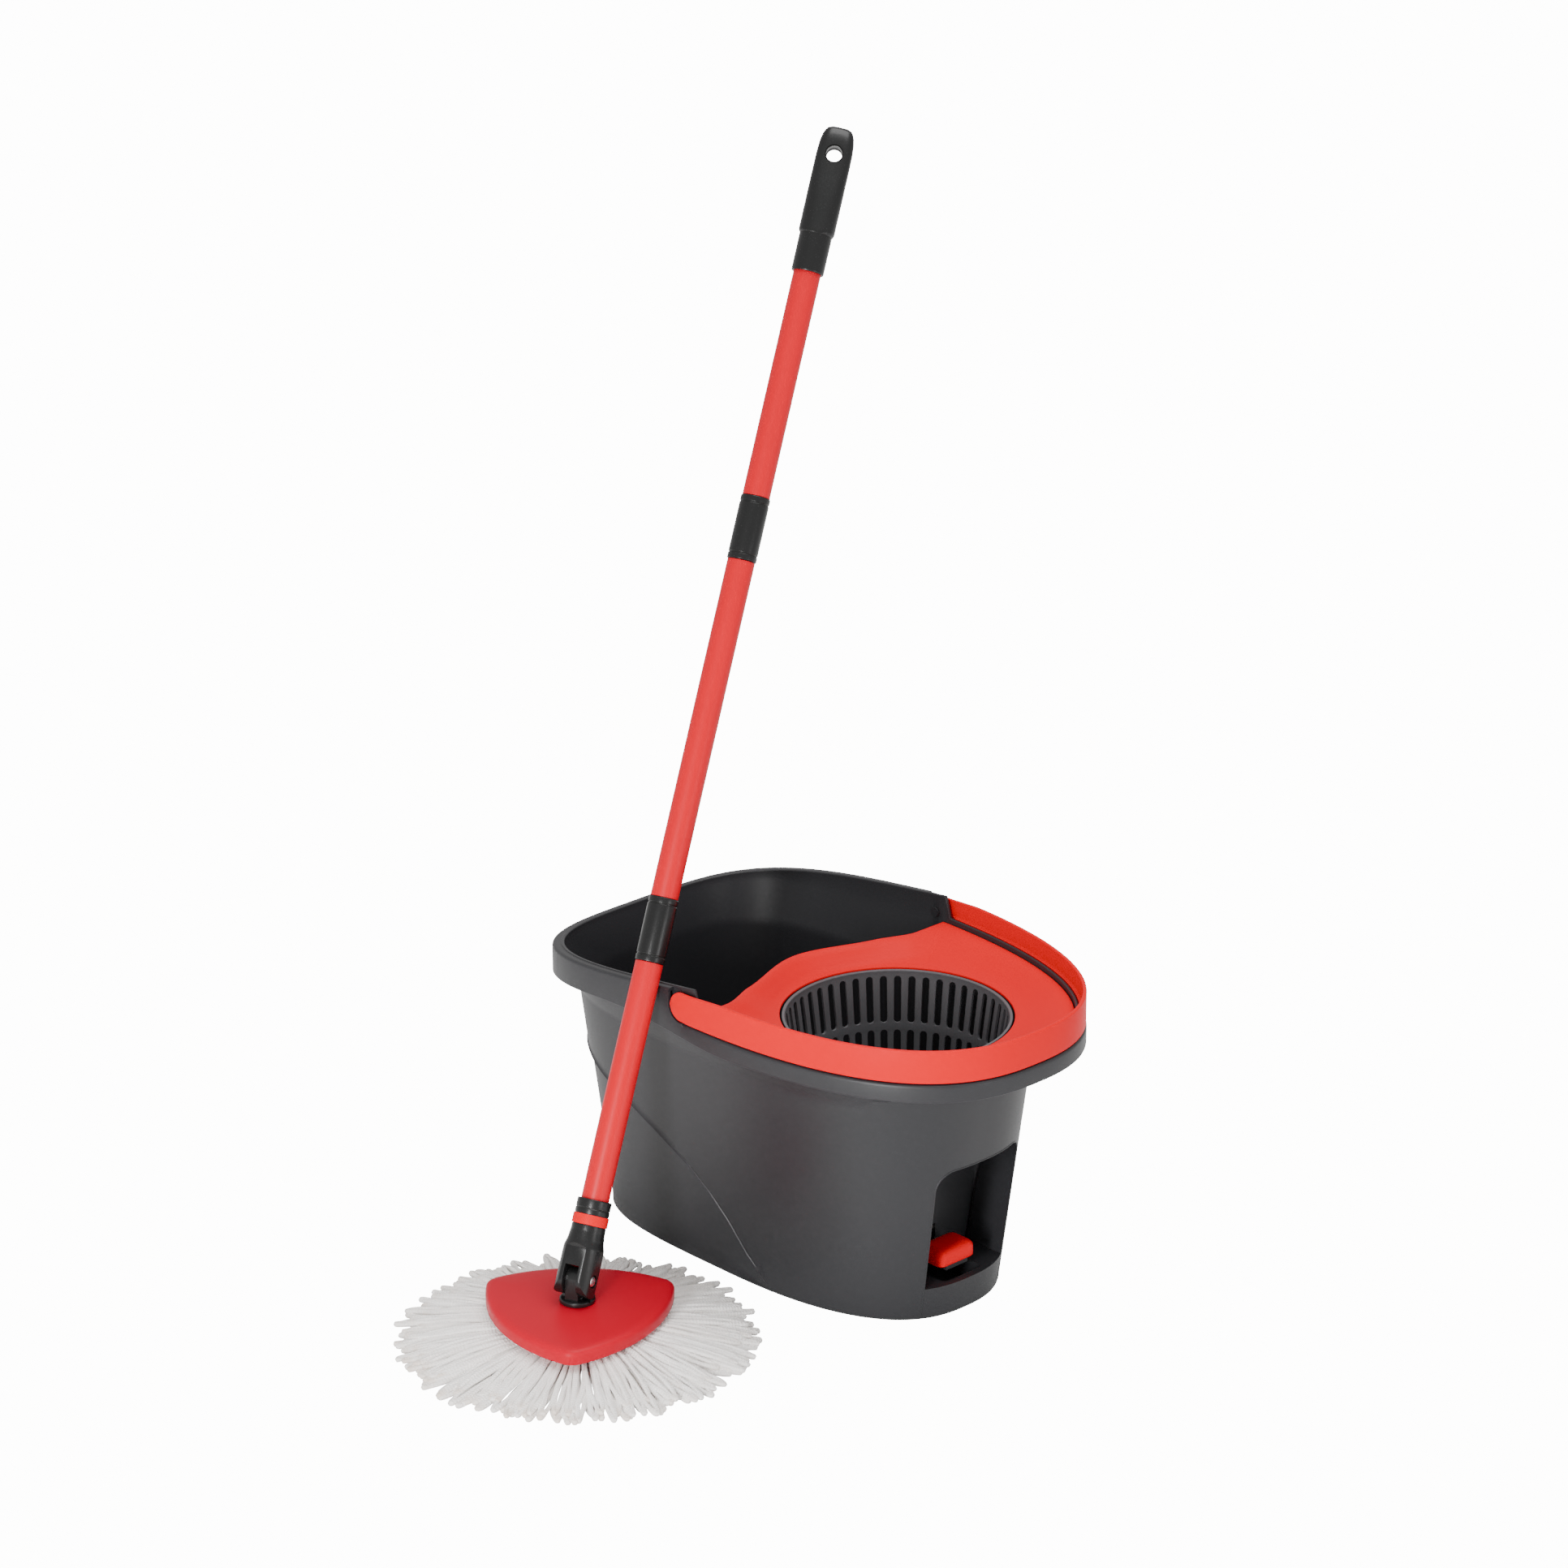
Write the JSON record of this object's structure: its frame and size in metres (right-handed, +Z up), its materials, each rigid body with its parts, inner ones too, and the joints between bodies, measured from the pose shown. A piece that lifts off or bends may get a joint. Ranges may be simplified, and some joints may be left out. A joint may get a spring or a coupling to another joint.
{
  "type": "spin mop",
  "caption": "Flat-jointed spin mop leaning on an oval wringer bucket, with a foot pedal that spins a slotted basket through a rack and gears.",
  "frame": {"origin": "on the floor under the bucket, where its two plan halves meet on the plane of symmetry", "axes": "+Z up, +X along the bucket towards the wringer and the pedal, the mop stands on the -Y side"},
  "size_m": [0.457, 0.571, 0.8681],
  "materials": {
    "charcoal": "fine satin",
    "black": "satin",
    "red": "semi gloss",
    "deep_red": "semi gloss",
    "red_paint": "gloss coating",
    "grey": "satin",
    "acetal": "natural",
    "steel": "bright",
    "bronze": "sintered",
    "rubber": "matt",
    "yarn": "microfibre loops"
  },
  "bodies": {
    "bucket": {"bucket_shell": "charcoal", "wringer_deck": "red", "handle_pin_front": "charcoal", "handle_pin_back": "charcoal", "base_cover": "charcoal", "cover_screw_1": "steel", "cover_screw_2": "steel", "cover_screw_3": "steel", "cover_screw_4": "steel", "gear_plate": "acetal", "gear_plate_screw_1": "steel", "gear_plate_screw_2": "steel", "lower_bush": "bronze", "upper_bush": "bronze", "shaft_seal": "rubber", "rack_guide": "acetal", "step_gear_axle": "steel", "pedal_axle": "steel", "pedal_spring": "steel"},
    "carry_handle": {"carry_handle": "red"},
    "pedal": {"pedal_arm": "charcoal", "pedal_pad": "deep_red"},
    "rack": {"drive_rack": "acetal"},
    "step_gear": {"step_gear": "acetal"},
    "drive_shaft": {"drive_shaft": "steel", "clutch_race": "steel", "thrust_washer": "acetal", "basket_screw": "steel"},
    "basket": {"basket": "grey", "clutch_ring": "acetal", "clutch_roller_1": "steel", "clutch_roller_2": "steel", "clutch_roller_3": "steel", "hub_cap": "grey"},
    "mop_handle": {"fork_socket": "black", "pivot_screw": "steel", "pivot_nut": "steel", "colour_ring": "red", "tube_lower": "red_paint", "connector_lower": "black", "tube_middle": "red_paint", "connector_upper": "black", "tube_upper": "red_paint", "grip": "black"},
    "swivel_base": {"swivel_base": "black"},
    "mop_head": {"refill": "yarn", "head_plate": "deep_red", "retainer_ring": "deep_red", "head_spindle": "steel"}
  },
  "joints": [
    {"name": "carry_handle_swing", "type": "hinge", "parent": "bucket", "child": "carry_handle", "pos_m": [0.006, 0, 0.246], "axis": [0, -1, 0], "range_deg": [0, 90]},
    {"name": "pedal_press", "type": "hinge", "parent": "bucket", "child": "pedal", "pos_m": [0.105, 0, 0.02], "axis": [0, 1, 0], "range_deg": [0, 18], "stiffness_Nm_per_rad": 0.5, "springref_deg": -20.05, "deforming": ["pedal_spring"]},
    {"name": "rack_slide", "type": "slide", "parent": "bucket", "child": "rack", "axis": [1, 0, 0], "range_m": [0, 0.0126]},
    {"name": "step_gear_spin", "type": "hinge", "parent": "bucket", "child": "step_gear", "pos_m": [0.073, 0.00735, 0.06], "axis": [0, 0, 1], "range_deg": [-144.2, 0]},
    {"name": "drive_shaft_spin", "type": "hinge", "parent": "bucket", "child": "drive_shaft", "pos_m": [0.0995, 0, 0.06], "axis": [0, 0, 1], "range_deg": [0, 576.6]},
    {"name": "basket_freewheel", "type": "hinge", "parent": "drive_shaft", "child": "basket", "pos_m": [0.0995, 0, 0.15], "axis": [0, 0, 1], "continuous": true},
    {"name": "mop_lift_off", "type": "slide", "parent": "bucket", "child": "mop_handle", "axis": [0, -0.6, 0.8], "range_m": [0, 0.5]},
    {"name": "head_tilt", "type": "hinge", "parent": "mop_handle", "child": "swivel_base", "pos_m": [0.0124, -0.2604, 0.055], "axis": [0.9455, 0.3256, 0], "range_deg": [-80, 30]},
    {"name": "head_spin", "type": "hinge", "parent": "swivel_base", "child": "mop_head", "pos_m": [0.0124, -0.2604, 0.03], "axis": [0, 0, 1], "continuous": true}
  ],
  "couplings": [
    {"joint": "rack_slide", "follows": "pedal_press", "m_per_rad": 0.04},
    {"joint": "step_gear_spin", "follows": "pedal_press", "ratio": -8},
    {"joint": "drive_shaft_spin", "follows": "pedal_press", "ratio": 32}
  ]
}
